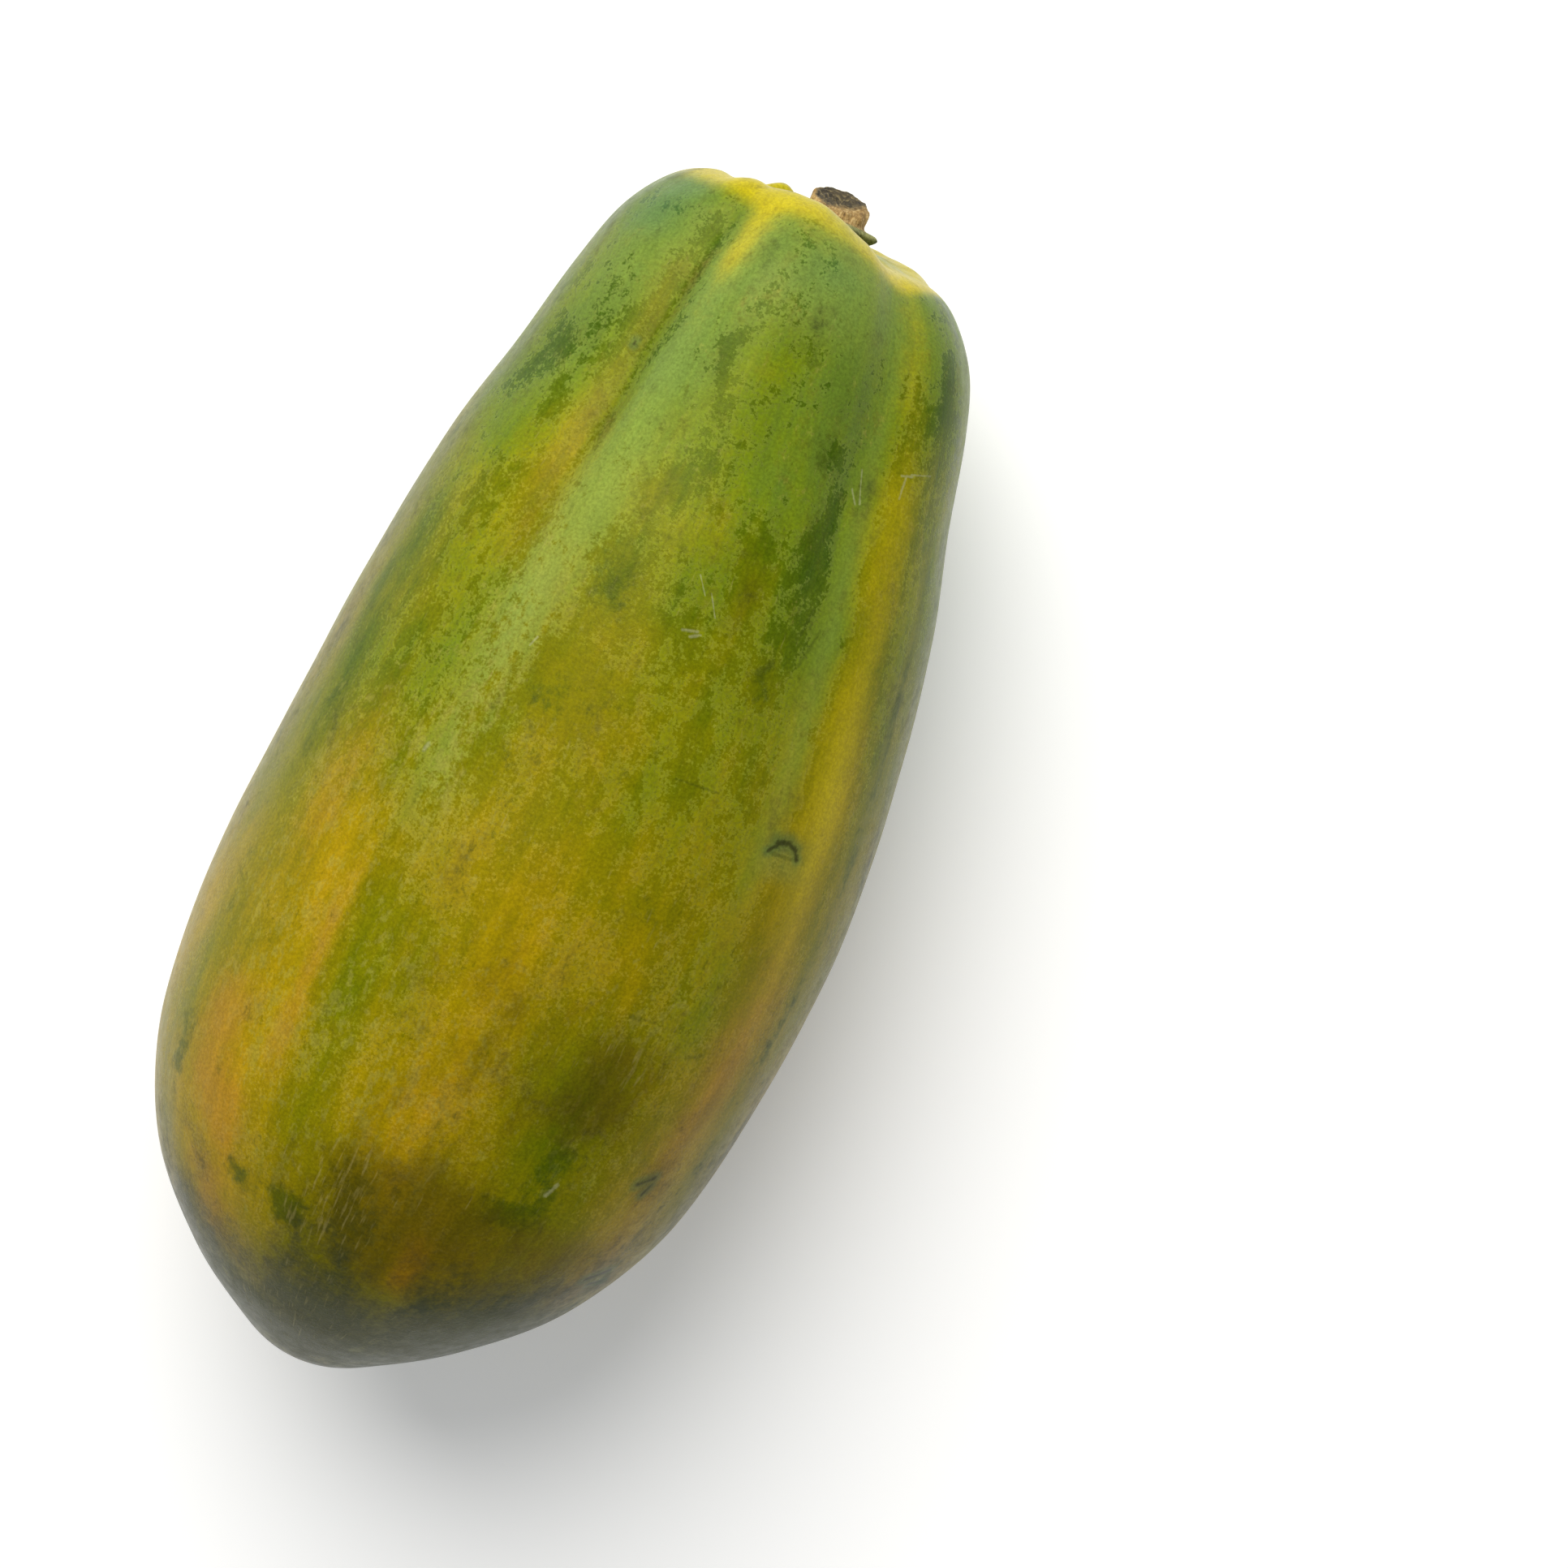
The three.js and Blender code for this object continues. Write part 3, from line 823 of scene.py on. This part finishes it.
def stalk_point(place, turn):
    """
    Round outline with five notches in the calyx rim and ribs up the side, both from cosines of the angle.
    The cut end slopes, and waves in the angle and radius stand for its torn fibres. Also gives the
    distance out through the wood's wavy layers, and where the dark cut end shows.
    """
    radius, along = np.moveaxis(curve_through(STALK_OUTLINE, place), -1, 0)
    radius = np.maximum(radius, 0)
    spread = smoothstep(radius, 6.8, 10.4)
    up_stalk = smoothstep(along, STALK_RIM + 1.3, STALK_TOP)
    notch = 2.4 * spread * (0.5 - 0.5 * np.cos(5 * turn))
    ribs = 0.25 * np.cos(9 * turn + 0.2 * along) + 0.1 * np.cos(23 * turn + 0.5 * along)
    around = radius - notch + up_stalk * ribs * smoothstep(radius, 2, 6.8)
    torn = 0.45 * np.sin(radius * 2.2 + 3 * turn) * np.sin(4 * turn + radius)
    torn = torn * up_stalk * smoothstep(radius, 0, 1)
    x = around * np.cos(turn)
    z = around * np.sin(turn)
    cut = smoothstep(place + 0.25 * np.sin(2 * turn) * np.sin(5 * turn + 1), 6.2, 6.9)
    along = along - CUT_SLOPE * z * up_stalk + torn * cut
    sideways, upwards = centre_line(np.clip(along / FRUIT_LENGTH, 0, 1))
    x = x + STALK_SIDEWAYS + STALK_LEAN * (along - STALK_FOOT) + sideways
    z = z + upwards
    layers = radius + 0.7 * np.sin(3 * turn + 0.5) + 0.4 * np.sin(7 * turn)
    fibrous = smoothstep(radius * np.cos(turn - 0.9), 0.5, 4)
    return np.stack([x, along, z], axis=-1), layers, cut * (1 - 0.85 * fibrous)


stalk_points, stalk_layers, stalk_cut = stalk_point(stalk_place, stalk_turn)
stalk_leaf = 1 - smoothstep(stalk_place, 3.2, 4.4)
stalk = grid_mesh("stalk_and_calyx", stalk_points + fruit_shift, {
    "cut": stalk_cut,
    "leaf": stalk_leaf,
    "layers": stalk_layers,
})
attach(stalk, "root")
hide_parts("peduncle")

# Stalk: dry woody stalk
# Dried plant fibre. It gives the eye a tan ribbed side, a dark crumbly cut end in layers, and greyish
# green leathery calyx lobes, all matt.
wood, wood_tree = new_material("dry woody stalk")
wood_spot = add_node(wood_tree, "ShaderNodeTexCoord").outputs["Object"]
sockets = {"Vector": wood_spot, "Scale": (1, 0.15, 1)}
fibre_spot = add_node(wood_tree, "ShaderNodeMapping", sockets).outputs[0]
# Sizes of a fibre and of a crumb in millimetres
FIBRE_SIZE = 0.71429
CRUMB_SIZE = 1.1111
sockets = {"Vector": fibre_spot, "Scale": 1000 / FIBRE_SIZE, "Detail": 4, "Roughness": 0.65}
fibres = add_node(wood_tree, "ShaderNodeTexNoise", sockets).outputs["Fac"]
sockets = {"Vector": wood_spot, "Scale": 1000 / CRUMB_SIZE, "Detail": 6, "Roughness": 0.7}
crumbs = add_node(wood_tree, "ShaderNodeTexNoise", sockets).outputs["Fac"]
stalk_field = {}
for name in ("cut", "leaf", "layers"):
    stalk_field[name] = add_node(wood_tree, "ShaderNodeAttribute", attribute_name=name).outputs["Fac"]
# Faint layers in the cut end: a sine of 3.4 times the distance out, set wavy by the crumbs
sockets = {0: stalk_field["layers"], 1: 3.4}
layer_turn = add_node(wood_tree, "ShaderNodeMath", sockets, operation="MULTIPLY").outputs[0]
sockets = {0: crumbs, 1: 9, 2: layer_turn}
layer_turn = add_node(wood_tree, "ShaderNodeMath", sockets, operation="MULTIPLY_ADD").outputs[0]
layer_wave = add_node(wood_tree, "ShaderNodeMath", {0: layer_turn}, operation="SINE").outputs[0]
sockets = {0: layer_wave, 1: 0.08, 2: crumbs}
layered = add_node(wood_tree, "ShaderNodeMath", sockets, operation="MULTIPLY_ADD").outputs[0]
side_colour = set_stops(add_node(wood_tree, "ShaderNodeValToRGB", {0: fibres}), [
    (0.3, "#5A3E1C"), (0.5, "#A08048"), (0.7, "#D0B47C"),
])
end_colour = set_stops(add_node(wood_tree, "ShaderNodeValToRGB", {0: layered}), [
    (0.3, "#221C12"), (0.55, "#4E442C"), (0.75, "#94845A"),
])
leaf_colour = set_stops(add_node(wood_tree, "ShaderNodeValToRGB", {0: crumbs}), [
    (0.35, "#4E5420"), (0.65, "#98985A"),
])
wood_colour = side_colour
for name, over in (("cut", end_colour), ("leaf", leaf_colour)):
    sockets = {0: stalk_field[name], 6: wood_colour, 7: over}
    wood_colour = add_node(wood_tree, "ShaderNodeMix", sockets, data_type="RGBA").outputs[2]
wood_bump = add_node(wood_tree, "ShaderNodeBump", {"Strength": 0.8, "Distance": 0.0006, "Height": fibres})
wood_shader = add_node(wood_tree, "ShaderNodeBsdfPrincipled", {
    "Base Color": wood_colour,
    "Roughness": 0.85,
    "Normal": wood_bump.outputs[0],
})
add_node(wood_tree, "ShaderNodeOutputMaterial", {"Surface": wood_shader.outputs[0]})
stalk.data.materials.append(wood)

# Floor
# A plain matt white studio surface, much larger than the view, on which the fruit lies.
# It glows a little, as paper does that is lit from all sides of a studio.
FLOOR_HALF_SIZE = 30
floor_signs = ((-1, -1), (1, -1), (1, 1), (-1, 1))
floor_corners = [(x * FLOOR_HALF_SIZE, y * FLOOR_HALF_SIZE, 0) for x, y in floor_signs]
floor_mesh = bpy.data.meshes.new("floor")
floor_mesh.from_pydata(floor_corners, [], [(0, 1, 2, 3)])
floor = bpy.data.objects.new("floor", floor_mesh)
bpy.context.scene.collection.objects.link(floor)
paper, paper_tree = new_material("white studio paper")
paper_shader = add_node(paper_tree, "ShaderNodeBsdfPrincipled", {
    "Base Color": (0.95, 0.95, 0.95, 1),
    "Roughness": 0.9,
    "Emission Color": (1, 1, 1, 1),
    "Emission Strength": 0.16,
})
add_node(paper_tree, "ShaderNodeOutputMaterial", {"Surface": paper_shader.outputs[0]})
floor_mesh.materials.append(paper)

# Light
# Soft daylight: a pale sky all round, brighter above and behind the stem end, and one broad window high
# above the stem end and a little to the left.
SKY_BRIGHT_SIDE = (-0.1, 0.6, 0.6)
SKY_DARKEST = 0.12
SKY_BRIGHTEST = 0.44
WINDOW_PLACE = (-1.4, 2.3, 2.9)
WINDOW_SIZE = 3
WINDOW_POWER = 172
world = bpy.data.worlds.new("soft sky")
world.use_nodes = True
sky_tree = world.node_tree
sky_tree.nodes.clear()
sky_way = add_node(sky_tree, "ShaderNodeTexCoord").outputs["Generated"]
sockets = {0: sky_way, 1: SKY_BRIGHT_SIDE}
sky_lit = add_node(sky_tree, "ShaderNodeVectorMath", sockets, operation="DOT_PRODUCT").outputs["Value"]
sky_strength = add_node(sky_tree, "ShaderNodeMapRange", {
    "Value": sky_lit, "From Min": -0.6, "From Max": 0.8, "To Min": SKY_DARKEST, "To Max": SKY_BRIGHTEST,
}, interpolation_type="SMOOTHSTEP").outputs[0]
sky = add_node(sky_tree, "ShaderNodeBackground", {"Color": (0.95, 0.98, 1, 1), "Strength": sky_strength})
add_node(sky_tree, "ShaderNodeOutputWorld", {"Surface": sky.outputs[0]})
bpy.context.scene.world = world
window_data = bpy.data.lights.new("window", "AREA")
window_data.shape = "DISK"
window_data.size = WINDOW_SIZE
window_data.energy = WINDOW_POWER
window_data.color = (1, 0.98, 0.94)
window = bpy.data.objects.new("window", window_data)
bpy.context.scene.collection.objects.link(window)
window.location = WINDOW_PLACE
window.rotation_euler = (-window.location).to_track_quat("-Z", "Y").to_euler()
